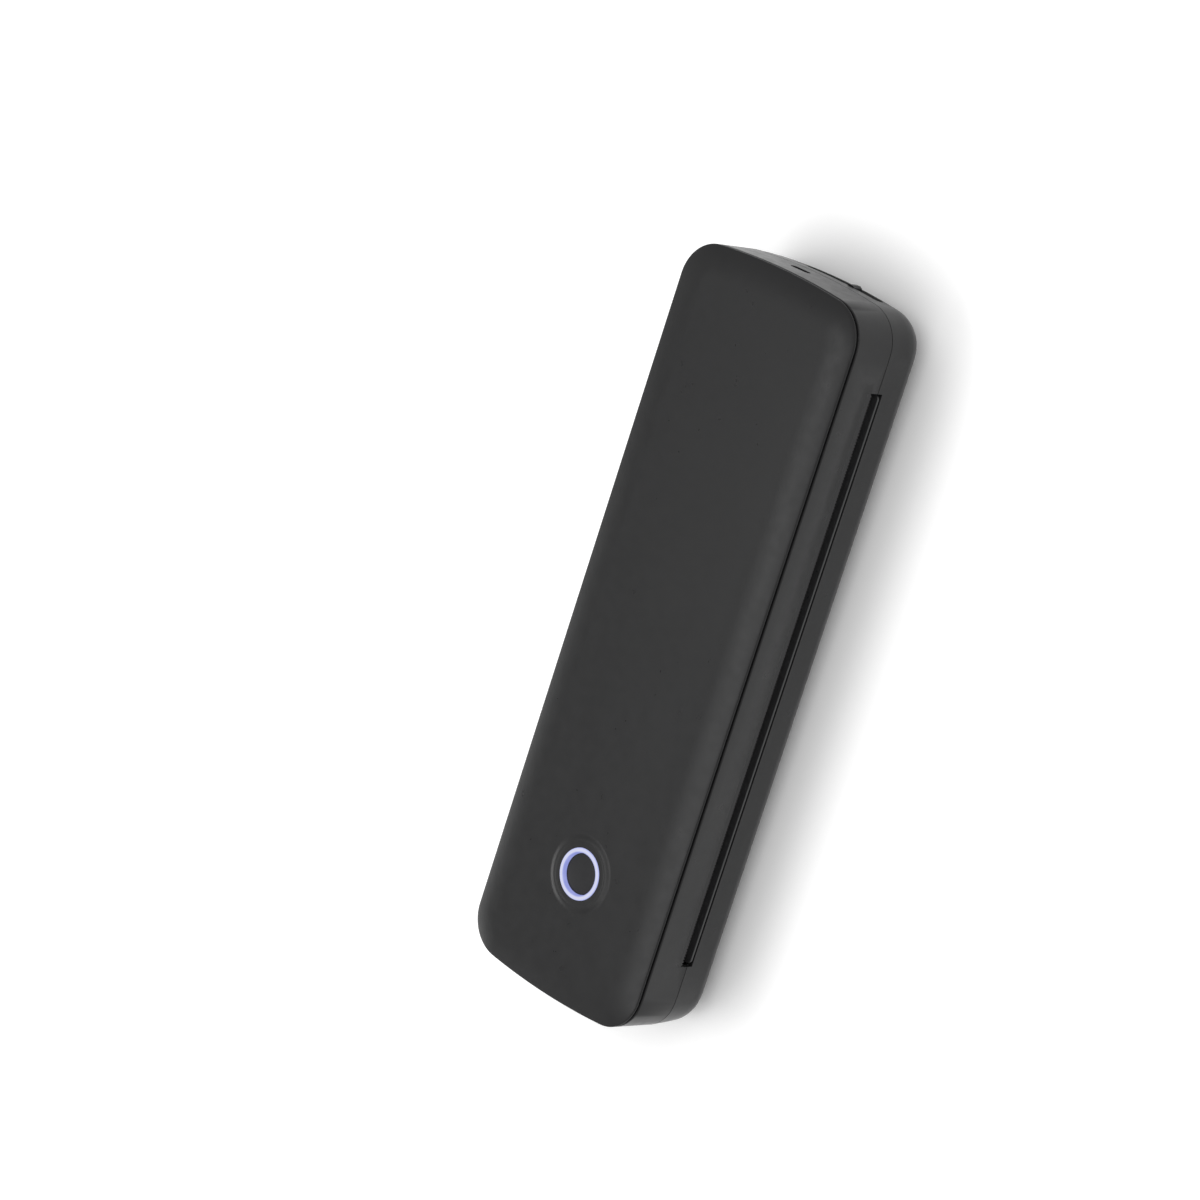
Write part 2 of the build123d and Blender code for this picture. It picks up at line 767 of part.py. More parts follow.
platen_centre = (platen_y, platen_z)
idler_centre = stepped(platen_centre, gear_module * (platen_teeth + idler_teeth) / 2, idler_bearing)
pinion_centre = stepped(idler_centre, gear_module * (idler_teeth + pinion_teeth) / 2, pinion_bearing)
idler_phase = meshed_phase(0.0, platen_teeth, idler_teeth, idler_bearing)
pinion_phase = meshed_phase(idler_phase, idler_teeth, pinion_teeth, pinion_bearing)


def side_frame(side):
    """The upright plate that carries one end of the platen; the left one also carries the drive."""
    floor = base_floor
    outline = [(frame_front, frame_chin), (frame_front, frame_top - frame_corner),
               (frame_front + frame_corner, frame_top), (ceramic_rear, frame_top),
               (guide_front, frame_shoulder), (frame_rear, frame_shoulder), (frame_rear, floor),
               (frame_foot_front, floor), (frame_foot_front, frame_keel), (frame_front + 3, frame_keel)]
    x0, x1 = sorted((side * frame_inner_x, side * frame_outer_x))
    plate = side_profile(x0, x1, outline)
    plate += block(side * frame_outer_x, side * (frame_outer_x + frame_foot), frame_foot_front, frame_rear,
                   floor, floor + frame_foot_thickness)
    plate -= rod_x(x0 - 1, x1 + 1, platen_y, platen_z, bush_radius + seat_gap)
    if side < 0:
        plate -= rod_x(x0 - 1, x1 + 1, *idler_centre, idler_pin_radius + seat_gap)
        plate -= rod_x(x0 - 1, x1 + 1, *pinion_centre, motor_boss_radius)
    for x, y in frame_screw_places:
        plate -= rod_z(x, y, 0, floor + 5, screw_radius + running_gap)
    return plate


def idler_pin():
    """The pin that the idler turns on."""
    return rod_x(gear_plane - gear_width - 0.6, -frame_inner_x, *idler_centre, idler_pin_radius)


def stepper_motor():
    """The motor's can with its two ears, screwed to the inside of the left frame."""
    y, z = pinion_centre
    x0 = -frame_inner_x
    can = rod_x(x0, x0 + motor_length, y, z, motor_radius)
    can = fillet(can.edges().group_by(Axis.X)[-1], 0.6)
    ears = block(x0, x0 + motor_ear_thickness, y - motor_ear_reach, y + motor_ear_reach,
                 z - motor_ear_radius, z + motor_ear_radius)
    can += ears
    for side in (-1, 1):
        can += rod_x(x0, x0 + motor_ear_thickness, y + side * motor_ear_reach, z, motor_ear_radius)
    return can - rod_x(x0 - 1, x0 + 10, y, z, motor_shaft_radius + running_gap)


def motor_shaft():
    """The motor's shaft, out through the frame to the pinion."""
    return rod_x(gear_plane - gear_width - 0.3, -frame_inner_x + 9, *pinion_centre, motor_shaft_radius)


def latch_bar():
    """The steel slide under the platen, with the tab that its spring pushes on."""
    low = latch_level()
    bar = block(-hook_x - hook_thickness, hook_x + hook_thickness, latch_front, latch_rear,
                low, low + latch_sheet)
    half_tab = latch_tab_width / 2
    return bar + block(latch_spring_x - half_tab, latch_spring_x + half_tab, latch_rear - latch_sheet,
                       latch_rear, low, low + 2 * spring_radius + 1)


def latch_level():
    """The latch bar slides just above the floor."""
    return base_floor + latch_clearance


def latch_hooks():
    """A hook on each end of the bar; its nose stands over the cover's catch."""
    low = latch_level() + latch_sheet
    nose = latch_front - hook_nose
    shoulder = catch_level + catch_thickness + free_gap
    outline = [(latch_front, low), (latch_front + hook_width, low), (latch_front + hook_width, hook_top),
               (latch_front, hook_top), (nose, shoulder + hook_lip), (nose, shoulder),
               (latch_front, shoulder)]
    far_x = hook_x + hook_thickness
    return Compound(children=[side_profile(*sorted((side * hook_x, side * far_x)), outline)
                              for side in (-1, 1)])


def slider_carrier():
    """The angled strip from the right hook to the slider's neck."""
    x0 = hook_x + hook_thickness
    x1 = carrier_x()
    rear = latch_front + hook_width
    strip = block(x0, x1, latch_front + 1, rear, wing_level, wing_level + carrier_thickness)
    return strip + block(x1 - carrier_thickness, x1, latch_front + 1, slider_y + slider_travel * 2,
                         wing_level, slider_z + slider_slot_inner / 2 + 1)


def carrier_x():
    """The slider's carrier stands just inside the end wall."""
    return end_wall_x(wing_level, slider_slot_front, wall) - 2 * free_gap


def release_slider():
    """The knob in the end wall, with its neck through the slot."""
    y0, y1 = slider_y - knob_width / 2, slider_y + knob_width / 2
    face_x = end_wall_x(slider_z, slider_y) + 0.25
    z0, z1 = slider_z - knob_height / 2, slider_z + knob_height / 2
    neck_half = slider_slot_inner / 2 - free_gap
    neck = block(carrier_x(), face_x, y0, y1, slider_z - neck_half, slider_z + neck_half)
    profile = [(face_x - 0.5, y0), (face_x + knob_proud - 0.6, y0), (face_x + knob_proud, y0 + 1.0),
               (face_x + knob_proud, y1 - 2.2), (face_x, y1), (face_x - 0.5, y1)]
    knob = extrude(Pos(0, 0, z0) * make_face(Polyline(*profile, close=True)), amount=z1 - z0)
    return knob + neck


def latch_spring():
    """The spring that pushes the latch frame forward."""
    z = base_floor + latch_clearance + spring_radius + 1
    front = latch_rear
    rear = latch_spring_post
    spring = coil(0, 0, 0, rear - front, spring_radius - 0.4, spring_wire, spring_turns)
    return Pos(latch_spring_x, front, z) * Rot(-90, 0, 0) * spring


def hinge_pins():
    """Two steel hinge pins."""
    pins = []
    for side in (-1, 1):
        x0 = side * (knuckle_start + 0.1)
        x1 = side * (knuckle_start + 3 * knuckle_length)
        pins.append(rod_x(x0, x1, hinge_y, hinge_z, hinge_pin_radius))
    return Compound(children=pins)


def cells():
    """Where the cells lie."""
    return [(cell_x + sx * cell_spacing_x / 2, cell_y + sy * cell_spacing_y / 2)
            for sx in (-1, 1) for sy in (-1, 1)]


def cell_level():
    """The level of the cells' axes."""
    return base_floor + cradle_wall + cell_radius


def battery_cells():
    """Four round cells."""
    return Compound(children=[rod_x(x - cell_length / 2, x + cell_length / 2, y, cell_level(), cell_radius)
                              for x, y in cells()])


def cell_cradle():
    """The moulded cradle with a trough under each cell."""
    half_x = cell_spacing_x / 2 + cell_length / 2 + cradle_wall
    half_y = cell_spacing_y / 2 + cell_radius + cradle_wall
    cradle = block(cell_x - half_x, cell_x + half_x, cell_y - half_y, cell_y + half_y,
                   base_floor, base_floor + cradle_wall + cradle_height)
    for x, y in cells():
        cradle -= rod_x(x - cell_length / 2 - seat_gap, x + cell_length / 2 + seat_gap, y, cell_level(),
                        cell_radius + running_gap)
    return cradle


def paper_tray():
    """The tray over the cells, with low ribs for the paper."""
    half = frame_inner_x - free_gap
    tray = block(-half, half, tray_front, tray_rear, tray_low, tray_top)
    for i in range(tray_ribs):
        x = (i - (tray_ribs - 1) / 2) * paper_width / (tray_ribs + 1)
        rib = block(x - tray_rib_width / 2, x + tray_rib_width / 2, tray_front + 2, tray_rear - 2,
                    tray_top - 0.2, tray_top + tray_rib_height)
        tray += rib
    for x, y in tray_posts:
        tray -= rod_z(x, y, tray_low - 1, tray_top + 1, screw_radius + running_gap)
        tray -= rod_z(x, y, tray_top - screw_head_height, tray_top + 1, screw_head_radius + running_gap)
    x, y = sensor_place()
    dx, dy = sensor_size[0] / 2 + 0.2, sensor_size[1] / 2 + 0.2
    return tray - block(x - dx, x + dx, y - dy, y + dy, tray_low - 1, tray_top + 1)


def sensor_place():
    """The paper sensor looks up through the tray, near the platen."""
    return (sensor_x, tray_front + 6)


def paper_sensor():
    """A reflective sensor in its hole in the tray."""
    x, y = sensor_place()
    dx, dy = sensor_size[0] / 2, sensor_size[1] / 2
    return block(x - dx, x + dx, y - dy, y + dy, tray_low - 1.6, tray_top - 0.2)


def cover_switch():
    """A micro switch on the right frame, pressed by the closed cover."""
    body_width, body_depth, body_height = cover_switch_size
    lever_width, lever_depth, lever_height = cover_switch_lever
    x0 = frame_inner_x - body_width
    top = cover_switch_low + body_height
    body = block(x0, frame_inner_x, cover_switch_y, cover_switch_y + body_depth, cover_switch_low, top)
    lever_x = x0 + (body_width - lever_width) / 2
    lever_y = cover_switch_y + cover_switch_lever_start
    lever = block(lever_x, lever_x + lever_width, lever_y, lever_y + lever_depth, top, top + lever_height)
    return body + lever


def screws(places, seat, tip, head_side):
    """A group of like screws."""
    return Compound(children=[screw(x, y, seat, tip, head_side) for x, y in places])


def pieces():
    """Every piece by the name of its file."""
    tray_seat = tray_top - screw_head_height
    return {
        "base_shell": base_shell(),
        "rubber_feet": rubber_feet(),
        "exit_guide": exit_guide(),
        "paper_tray": paper_tray(),
        "tray_screws": screws(tray_posts, tray_seat, tray_seat - 7, 1),
        "paper_sensor": paper_sensor(),
        "cover_switch": cover_switch(),
        "cell_cradle": cell_cradle(),
        "battery_cells": battery_cells(),
        "side_frame_left": side_frame(-1),
        "side_frame_right": side_frame(1),
        "frame_screws": screws(frame_screw_places, base_floor + frame_foot_thickness, foot_height + 0.7, 1),
        "platen_bushes": platen_bushes(),
        "idler_pin": idler_pin(),
        "stepper_motor": stepper_motor(),
        "hinge_pins": hinge_pins(),
        "latch_spring": latch_spring(),
        "platen_rubber": platen_rubber(),
        "platen_shaft": platen_shaft(),
        "platen_gear": gear(platen_teeth, 0.0, platen_centre, shaft_radius + seat_gap),
        "idler_gear": gear(idler_teeth, idler_phase, idler_centre, idler_pin_radius + running_gap),
        "motor_pinion": gear(pinion_teeth, pinion_phase, pinion_centre, motor_shaft_radius + seat_gap),
        "motor_shaft": motor_shaft(),
        "latch_bar": latch_bar(),
        "latch_hooks": latch_hooks(),
        "slider_carrier": slider_carrier(),
        "release_slider": release_slider(),
        "cover_housing": cover_housing(),
        "tear_edge": tear_edge(),
        "top_panel": top_panel(),
        "panel_screws": screws(panel_screw_places, deck_low, panel_low + 0.8, -1),
        "light_ring": light_ring(),
        "button_board": button_board(),
        "button_switch": button_switch(),
        "button_board_screws": screws(button_board_posts, button_board_z, button_board_z + 5, -1),
        "main_board": main_board(),
        "board_chips": board_chips(),
        "main_board_screws": screws(main_board_posts, main_board_z, main_board_z + 6, -1),
        "charge_board": charge_board(),
        "charge_socket": charge_socket(),
        "charge_board_screws": screws(charge_board_posts, charge_board_top() - board_thickness,
                                      charge_board_top() + 5, -1),
        "upper_guide": upper_guide(),
        "guide_screws": screws(guide_posts, guide_height, guide_top + 6, -1),
        "head_springs": head_springs(),
        "heat_sink": heat_sink(),
        "head_ceramic": head_ceramic(),
        "head_pins": head_pins(),
        "power_button": power_button(),
    }


os.makedirs("parts", exist_ok=True)
for name, shape in pieces().items():
    write(name, shape)
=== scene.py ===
import json
import math

import bmesh
import bpy
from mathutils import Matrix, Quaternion, Vector


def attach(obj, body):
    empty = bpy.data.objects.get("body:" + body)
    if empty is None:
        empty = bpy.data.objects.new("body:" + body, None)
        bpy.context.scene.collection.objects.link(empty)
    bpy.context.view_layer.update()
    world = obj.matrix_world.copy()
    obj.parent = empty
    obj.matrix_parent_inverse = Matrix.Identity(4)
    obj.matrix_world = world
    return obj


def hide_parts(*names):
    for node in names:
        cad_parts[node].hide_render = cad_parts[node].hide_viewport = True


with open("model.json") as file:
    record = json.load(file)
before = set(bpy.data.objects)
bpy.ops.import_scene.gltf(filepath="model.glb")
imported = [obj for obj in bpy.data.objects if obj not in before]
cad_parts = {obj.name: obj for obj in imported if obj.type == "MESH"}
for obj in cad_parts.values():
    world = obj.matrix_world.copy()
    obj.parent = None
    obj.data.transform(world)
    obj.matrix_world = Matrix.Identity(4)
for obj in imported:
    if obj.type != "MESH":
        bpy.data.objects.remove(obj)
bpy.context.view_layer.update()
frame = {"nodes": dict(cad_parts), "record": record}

MM = 0.001
QUARTER = math.pi / 2

# The photograph's camera: where it stands, the point that it aims at and its turn about that line
CAMERA_PLACE = Vector((0.38195, -0.98765, 1.24617))
CAMERA_AIM = Vector((0.00125, 0.03366, 0.044))
CAMERA_ROLL = math.radians(-87.644)
CAMERA_LENS = 132.3
SENSOR_WIDTH = 36.0

# Lamps: name, place and size in metres, power in watts
LAMPS = [
    ("crown_softbox", (-0.38, 0.5, 1.5), (1.1, 0.5), 5.6),
    ("rear_softbox", (-0.9, 1.7, 0.55), (0.9, 0.6), 4.8),
    ("front_softbox", (0.9, -1.3, 1.0), (1.2, 1.0), 4.0),
]
SKY_STRENGTH = 0.74

# The floor, and how near to the printer its own white fades for the contact shadow
WHITE = (1.0, 1.0, 1.0)
FLOOR_COLOUR = (0.9, 0.9, 0.9)
FLOOR_ROUGHNESS = 0.9
FLOOR_GLOW = 0.45
FLOOR_SIZE = 8.0
CONTACT_REACH = 0.045
CONTACT_POWER = 2.0
CONTACT_SAMPLES = 8

# The case's outline from above, in millimetres: as the photograph shows it, and as the solids have it
HALF_LENGTH = 142.5
HALF_DEPTH = 43.5
CORNER_RADIUS = 15.5
END_RADIUS = 300.0
CAD_CORNER_RADIUS = 17.0
CAD_END_RADIUS = 200.0
CORNER_STEPS = 20
END_STEPS = 24

# The ends are fitted to the photograph from nothing at the first distance along X to in full at the other
WARP_START = 122.5
WARP_END = 128.0

# The base's walls lean in below the parting line and turn under in a large round
PARTING_LEVEL = 24.3
BASE_BOTTOM = 1.0
BASE_TAPER = math.radians(4.0)
BASE_ROUND = 13.0
CAD_BASE_TAPER = math.radians(10.0)
CAD_BASE_ROUND = 12.5

# The base is fitted in full down to the first depth inside the outline, and not at all past the other
FITTED_DEPTH = 13.5
UNCHANGED_DEPTH = 15.4

# The top panel's levels and section
BAND_TOP = 43.2
PANEL_LOW = 44.4
TOP_LEVEL = 46.8
CROWN_RUN = 12.5
CROWN_RISE = 1.5
CROWN_STEPS = 14
RIM_ROUND = 0.55
RIM_STEPS = 6
UNDER_RUN = 1.5
UNDER_RISE = 0.45
SKIRT_OUTER = 1.8
SKIRT_INNER = 4.0
BOSS_RADIUS = 3.0
SCREW_HOLE = 1.12
SCREW_HOLE_TOP = 45.4
BOSS_PLACES = [(x, y) for x in (-124.0, -38.0, 38.0, 124.0) for y in (-26.0, 27.0)]

# Power button, its light ring and the soft ridge round them
BUTTON_X = -94.0
RING_OUTER = 9.75
RING_INNER = 8.0
RING_TOP = 47.5
RING_ROUND = 0.3
RING_STEPS = 5
RING_GAP = 0.06
GLOW_INNER = (0.05, 0.6)
GLOW_OUTER = (0.5, 0.02)
BORE_WALL = 2.2
COLLAR_LIP = 0.4
COLLAR_CREST = 12.3
COLLAR_HEIGHT = 0.55
COLLAR_FOOT = 15.4
COLLAR_STEPS = 12
DISH_POWER = 4
CAP_RADIUS = 7.75
CAP_TOP = 45.9
CAP_DISH = 0.35
CAP_ROUND = 0.3
CAP_STEPS = 5
CAP_DISH_STEPS = 12
FLANGE_RADIUS = 8.5
FLANGE_LOW = 42.3
FLANGE_TOP = 43.0
STEM_RADIUS = 1.6
STEM_LOW = 39.0
TURN_STEPS = 96

# Edges sharper than these angles stay sharp; points of the CAD mesh nearer than this become one
SHARP_ANGLE = math.radians(30.0)
CASE_SHARP_ANGLE = math.radians(25.0)
MERGE_DISTANCE = 0.000002

# The line of heating dots on the print head's ceramic, in metres along Y
HEAT_LINE_FRONT = -0.031
HEAT_LINE_REAR = -0.029
HEAT_LINE_BLUR = 0.0003

# The part of a noise pattern that gloss follows, and how far a bevelled normal turns at a worn edge
NOISE_LOW = 0.25
NOISE_HIGH = 0.75
FLAT_DOT = 0.98
EDGE_DOT = 0.75
BEVEL_SAMPLES = 4

# Sockets of the node that mixes colours: its two colours and its result
MIX_FIRST = 6
MIX_SECOND = 7
MIX_RESULT = 2


class Shade:
    """A material in the making: its nodes, its shader and the place that its patterns are laid out by."""

    def __init__(self, name, colour, roughness, metallic=0.0):
        self.material = bpy.data.materials.new(name)
        self.material.use_nodes = True
        self.tree = self.material.node_tree
        self.shader = self.tree.nodes["Principled BSDF"]
        self.place = self.node("ShaderNodeTexCoord").outputs["Object"]
        self.colour = colour
        self.feed(self.shader.inputs["Base Color"], colour)
        self.feed(self.shader.inputs["Roughness"], roughness)
        self.feed(self.shader.inputs["Metallic"], metallic)
        self.height = None

    def node(self, kind, **values):
        """Adds a node and sets its plain properties."""
        made = self.tree.nodes.new(kind)
        for name, value in values.items():
            setattr(made, name, value)
        return made

    def feed(self, socket, value):
        """Links an output to a socket, or sets the socket to a number or a colour."""
        if isinstance(value, bpy.types.NodeSocket):
            self.tree.links.new(value, socket)
        elif isinstance(value, tuple):
            socket.default_value = (*value, 1.0)
        else:
            socket.default_value = value

    def stretched(self, stretch):
        """The pattern's place, scaled along each axis."""
        mapping = self.node("ShaderNodeMapping")
        self.feed(mapping.inputs["Vector"], self.place)
        mapping.inputs["Scale"].default_value = stretch
        return mapping.outputs["Vector"]

    def noise(self, scale, detail=2.0, stretch=(1, 1, 1)):
        """Cloudy noise from 0 to 1; scale is in cycles a metre."""
        noise = self.node("ShaderNodeTexNoise")
        self.feed(noise.inputs["Vector"], self.stretched(stretch))
        noise.inputs["Scale"].default_value = scale
        noise.inputs["Detail"].default_value = detail
        return noise.outputs["Fac"]

    def cells(self, scale, output="Distance"):
        """A cell pattern, for spangle, grain or pads."""
        cells = self.node("ShaderNodeTexVoronoi")
        self.feed(cells.inputs["Vector"], self.place)
        cells.inputs["Scale"].default_value = scale
        return cells.outputs[output]

    def waves(self, scale):
        """Even ridges one after the other along X."""
        waves = self.node("ShaderNodeTexWave", wave_type="BANDS", bands_direction="X")
        self.feed(waves.inputs["Vector"], self.place)
        waves.inputs["Scale"].default_value = scale
        return waves.outputs["Fac"]

    def remap(self, value, low, high, start=0.0, end=1.0):
        """The part of a pattern between low and high, stretched from start to end."""
        remap = self.node("ShaderNodeMapRange")
        self.feed(remap.inputs["Value"], value)
        remap.inputs["From Min"].default_value = low
        remap.inputs["From Max"].default_value = high
        remap.inputs["To Min"].default_value = start
        remap.inputs["To Max"].default_value = end
        return remap.outputs["Result"]

    def maths(self, operation, first, second):
        """A number from two others."""
        maths = self.node("ShaderNodeMath", operation=operation)
        self.feed(maths.inputs[0], first)
        self.feed(maths.inputs[1], second)
        return maths.outputs[0]

    def blend(self, pattern, first, second):
        """A colour between two others by a pattern; the first may be the output of another node."""
        mix = self.node("ShaderNodeMix", data_type="RGBA")
        self.feed(mix.inputs[0], pattern)
        self.feed(mix.inputs[MIX_FIRST], first)
        self.feed(mix.inputs[MIX_SECOND], second)
        return mix.outputs[MIX_RESULT]

    def tint(self, pattern, other):
        """Mixes the base colour so far with another one by a pattern."""
        base = self.shader.inputs["Base Color"]
        before = base.links[0].from_socket if base.links else self.colour
        self.feed(base, self.blend(pattern, before, other))

    def gloss(self, pattern, low, high):
        """Roughness that follows a pattern between two values."""
        self.feed(self.shader.inputs["Roughness"], self.remap(pattern, NOISE_LOW, NOISE_HIGH, low, high))

    def relief(self, pattern, depth, strength):
        """Adds a pattern to the surface's relief; depth is in metres."""
        bump = self.node("ShaderNodeBump")
        self.feed(bump.inputs["Height"], pattern)
        bump.inputs["Distance"].default_value = depth
        bump.inputs["Strength"].default_value = strength
        if self.height is not None:
            self.feed(bump.inputs["Normal"], self.height)
        self.height = bump.outputs["Normal"]
        self.feed(self.shader.inputs["Normal"], self.height)

    def edges(self, radius):
        """1 on the edges of a form and 0 on its flats, for wear."""
        bevel = self.node("ShaderNodeBevel", samples=BEVEL_SAMPLES)
        bevel.inputs["Radius"].default_value = radius
        plain = self.node("ShaderNodeNewGeometry").outputs["Normal"]
        dot = self.node("ShaderNodeVectorMath", operation="DOT_PRODUCT")
        self.feed(dot.inputs[0], bevel.outputs["Normal"])
        self.feed(dot.inputs[1], plain)
        return self.remap(dot.outputs["Value"], FLAT_DOT, EDGE_DOT)

    def along_y(self, start, end):
        """0 on the start side of a band across Y and 1 on its end side."""
        parts = self.node("ShaderNodeSeparateXYZ")
        self.feed(parts.inputs[0], self.place)
        return self.remap(parts.outputs["Y"], start, end)

    def reach(self, x, y, near, far):
        """0 nearer than one distance from an upright axis and 1 beyond the other."""
        flat = self.node("ShaderNodeVectorMath", operation="MULTIPLY")
        self.feed(flat.inputs[0], self.place)
        flat.inputs[1].default_value = (1.0, 1.0, 0.0)
        distance = self.node("ShaderNodeVectorMath", operation="DISTANCE")
        self.feed(distance.inputs[0], flat.outputs["Vector"])
        distance.inputs[1].default_value = (x, y, 0.0)
        return self.remap(distance.outputs["Value"], near, far)


def lifted(colour, factor, lift=0.0):
    """A colour made lighter or darker by a factor, with a little added."""
    return tuple(c * factor + lift for c in colour)


def moulded(name, colour, roughness, grain=2600.0, depth=0.00003, gloss=0.25):
    """Moulded plastic: fine grain, faint flow clouds and rubbed edges."""
    shade = Shade(name, colour, roughness)
    shade.shader.inputs["Specular IOR Level"].default_value = gloss
    clouds = shade.remap(shade.noise(scale=28.0, detail=4.0), low=0.35, high=0.8, end=0.5)
    shade.tint(clouds, lifted(colour, factor=1.12, lift=0.001))
    wear = shade.maths("MULTIPLY", shade.edges(radius=0.0005), 0.25)
    shade.tint(wear, lifted(colour, factor=1.5, lift=0.004))
    shade.gloss(shade.noise(scale=220.0, detail=3.0), low=roughness - 0.04, high=roughness + 0.05)
    shade.relief(shade.cells(grain), depth, strength=0.35)
    shade.relief(shade.noise(grain * 1.7), depth * 0.6, strength=0.3)
    return shade


def ground_metal(name, colour, roughness, stretch):
    """Metal with fine lines along one axis, uneven gloss and rubbed edges."""
    shade = Shade(name, colour, roughness, metallic=1.0)
    lines = shade.noise(scale=900.0, detail=3.0, stretch=stretch)
    stains = shade.remap(shade.noise(scale=60.0, detail=4.0), low=0.4, high=0.75, end=0.45)
    shade.tint(stains, lifted(colour, factor=0.78))
    wear = shade.maths("MULTIPLY", shade.edges(radius=0.0003), 0.5)
    shade.tint(wear, lifted(colour, factor=1.2))
    shade.gloss(lines, low=roughness - 0.08, high=roughness + 0.12)
    shade.relief(lines, depth=0.00002, strength=0.4)
    return shade


def zinc_plate():
    """Zinc-plated sheet steel with its spangle."""
    shade = Shade("zinc_plate", (0.56, 0.57, 0.59), roughness=0.34, metallic=1.0)
    spangle = shade.cells(scale=180.0, output="Color")
    shade.tint(shade.remap(spangle, low=0.2, high=0.9, end=0.6), (0.68, 0.69, 0.7))
    stains = shade.remap(shade.noise(scale=35.0, detail=5.0), low=0.55, high=0.8, end=0.35)
    shade.tint(stains, (0.36, 0.36, 0.37))
    shade.gloss(spangle, low=0.26, high=0.44)
    shade.relief(shade.noise(scale=2400.0), depth=0.00001, strength=0.3)
    return shade


def rubber(name, colour, roughness, stretch):
    """Rubber with ground marks and a pale bloom."""
    shade = Shade(name, colour, roughness)
    shade.shader.inputs["Specular IOR Level"].default_value = 0.3
    bloom = shade.remap(shade.noise(scale=90.0, detail=5.0), low=0.5, high=0.8, end=0.6)
    shade.tint(bloom, lifted(colour, factor=1.6, lift=0.01))
    marks = shade.noise(scale=1500.0, detail=3.0, stretch=stretch)
    shade.gloss(marks, low=roughness - 0.08, high=roughness + 0.08)
    shade.relief(marks, depth=0.00003, strength=0.5)
    return shade


def circuit_board():
    """Green solder resist over copper tracks, with tinned pads."""
    shade = Shade("solder_resist", (0.012, 0.085, 0.035), roughness=0.3)
    tracks = shade.node("ShaderNodeTexBrick", offset=0.5, squash=1.0)
    shade.feed(tracks.inputs["Vector"], shade.place)
    tracks.inputs["Scale"].default_value = 260.0
    tracks.inputs["Mortar Size"].default_value = 0.06
    line = shade.remap(tracks.outputs["Fac"], low=0.3, high=0.7)
    shade.tint(line, (0.03, 0.17, 0.06))
    pads = shade.remap(shade.cells(scale=330.0), low=0.16, high=0.12)
    shade.tint(pads, (0.62, 0.6, 0.55))
    shade.relief(line, depth=0.00003, strength=0.6)
    shade.relief(pads, depth=0.00004, strength=0.6)
    shade.gloss(shade.noise(scale=140.0, detail=3.0), low=0.22, high=0.38)
    return shade


def shrink_sleeve():
    """Thin blue shrink sleeve with fine creases along the cell."""
    shade = Shade("shrink_sleeve", (0.022, 0.11, 0.3), roughness=0.28)
    creases = shade.noise(scale=700.0, detail=4.0, stretch=(0.08, 1, 1))
    clouds = shade.remap(shade.noise(scale=45.0, detail=3.0), low=0.45, high=0.75, end=0.5)
    shade.tint(clouds, (0.03, 0.15, 0.4))
    shade.tint(shade.edges(radius=0.0004), (0.3, 0.33, 0.38))
    shade.gloss(creases, low=0.2, high=0.38)
    shade.relief(creases, depth=0.00006, strength=0.4)
    return shade


def glazed_ceramic():
    """White ceramic with a glossy glaze and the dark line of heating dots."""
    shade = Shade("glazed_ceramic", (0.7, 0.68, 0.62), roughness=0.16)
    dots = shade.remap(shade.waves(scale=1300.0), low=0.2, high=0.6, start=0.55)
    behind_front = shade.along_y(HEAT_LINE_FRONT, HEAT_LINE_FRONT + HEAT_LINE_BLUR)
    before_rear = shade.along_y(HEAT_LINE_REAR, HEAT_LINE_REAR - HEAT_LINE_BLUR)
    line = shade.maths("MULTIPLY", behind_front, before_rear)
    shade.tint(shade.maths("MULTIPLY", line, dots), (0.09, 0.05, 0.03))
    shade.gloss(shade.noise(scale=180.0, detail=3.0), low=0.1, high=0.24)
    shade.relief(shade.noise(scale=900.0), depth=0.00001, strength=0.25)
    return shade


def lit_ring():
    """Translucent ring lit from below: white on top, lavender down its inner wall and at its rim."""
    shade = Shade("lit_ring", (0.08, 0.085, 0.12), roughness=0.4)
    middle = (BUTTON_X * MM, 0.0)
    inner = shade.reach(*middle, *((RING_INNER + step) * MM for step in GLOW_INNER))
    rim = shade.reach(*middle, *((RING_OUTER - step) * MM for step in GLOW_OUTER))
    wall = shade.blend(inner, (0.26, 0.3, 0.7), (0.6, 0.61, 0.76))
    glow = shade.blend(rim, wall, (0.42, 0.46, 0.86))
    patches = shade.remap(shade.noise(scale=300.0), low=0.3, high=0.7, end=0.25)
    light = shade.blend(patches, glow, (0.62, 0.65, 0.98))
    shade.feed(shade.shader.inputs["Emission Color"], light)
    shade.shader.inputs["Emission Strength"].default_value = 0.88
    shade.relief(shade.noise(scale=1800.0), depth=0.00002, strength=0.3)
    return shade


# How a pattern is scaled along each axis: drawn out along X, or drawn out across it
ALONG_X = (0.04, 1, 1)
ACROSS_X = (1, 0.05, 0.05)

